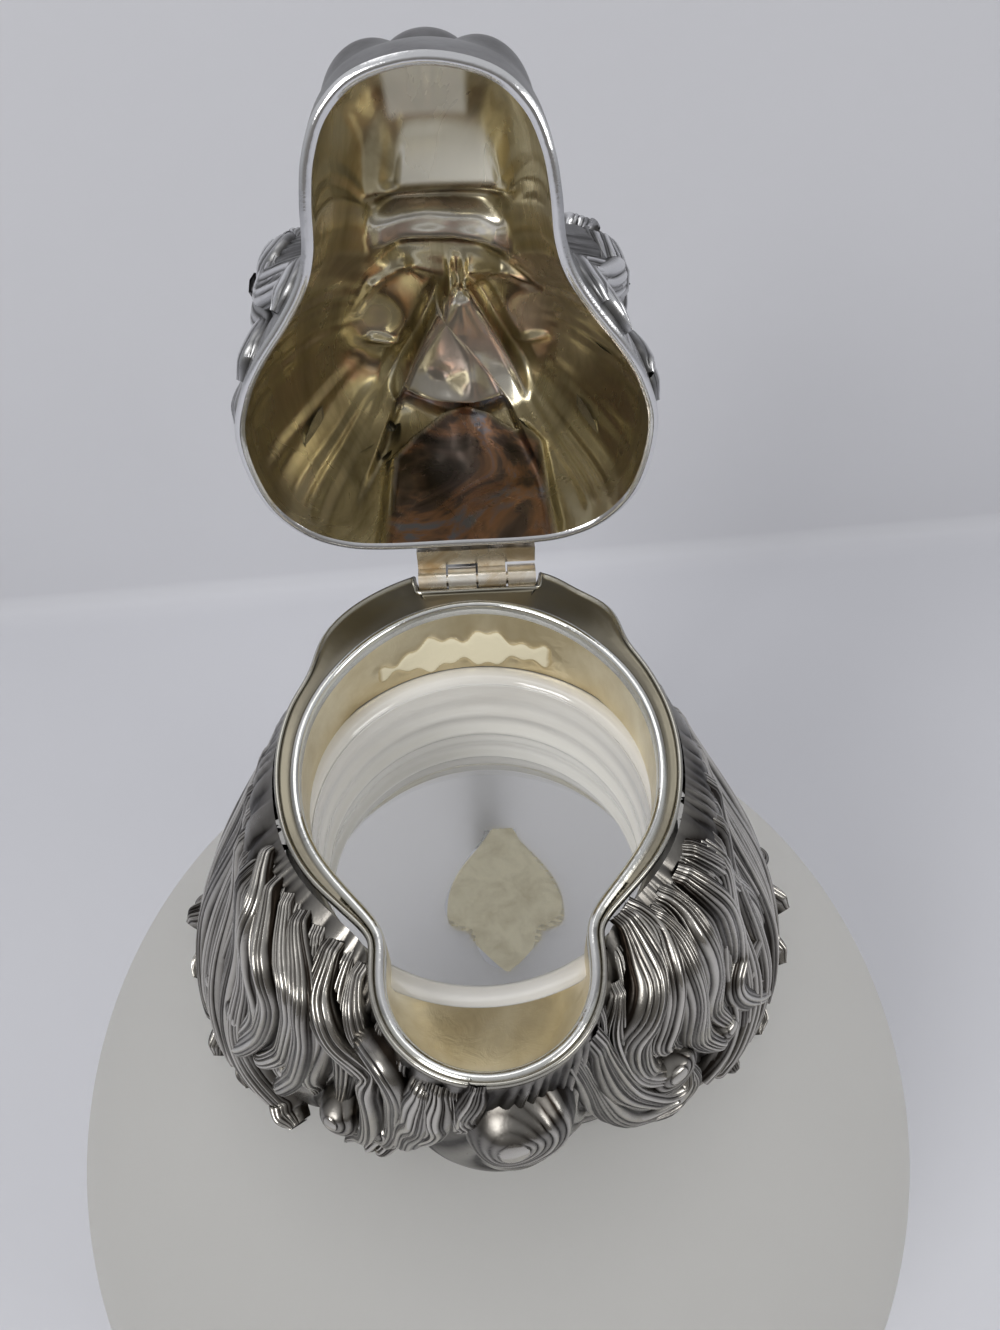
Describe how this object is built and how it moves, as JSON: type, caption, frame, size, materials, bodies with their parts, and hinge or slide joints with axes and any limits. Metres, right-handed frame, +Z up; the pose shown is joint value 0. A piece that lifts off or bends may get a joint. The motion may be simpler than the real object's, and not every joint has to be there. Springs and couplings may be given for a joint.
{
  "type": "claret jug",
  "caption": "Globe-shaped frosted glass claret jug with a cast lion's-mane collar and spout, a hinged lion's-head lid and a scroll handle.",
  "frame": {"origin": "middle of the base, on the table", "axes": "+Z up, the spout points to -Y, the hinge and handle are on +Y, +X to the right seen from the spout's side looking to +Y"},
  "size_m": [0.148, 0.1801, 0.2386],
  "materials": {
    "frosted_glass": "acid-frosted outside",
    "silver_plate": "oxidised silver plate, bright on the ridges",
    "gilt": "worn gilding",
    "cement": "plaster cement, matt"
  },
  "bodies": {
    "jug": {"glass_body": "frosted_glass", "neck_cement": "cement", "mane_collar": "silver_plate", "mouth_rim": "silver_plate", "spout_liner": "gilt", "rim_knuckles": "gilt", "hinge_pin": "gilt", "handle": "silver_plate", "leaf_plate": "silver_plate", "leaf_cement": "cement"},
    "lid": {"lid_shell": "silver_plate", "crown_patch": "silver_plate", "lid_knuckles": "gilt"}
  },
  "joints": [
    {"name": "lid_hinge", "type": "hinge", "parent": "jug", "child": "lid", "pos_m": [0.0008, 0.027, 0.1838], "axis": [1, 0, 0], "range_deg": [0, 93]}
  ]
}
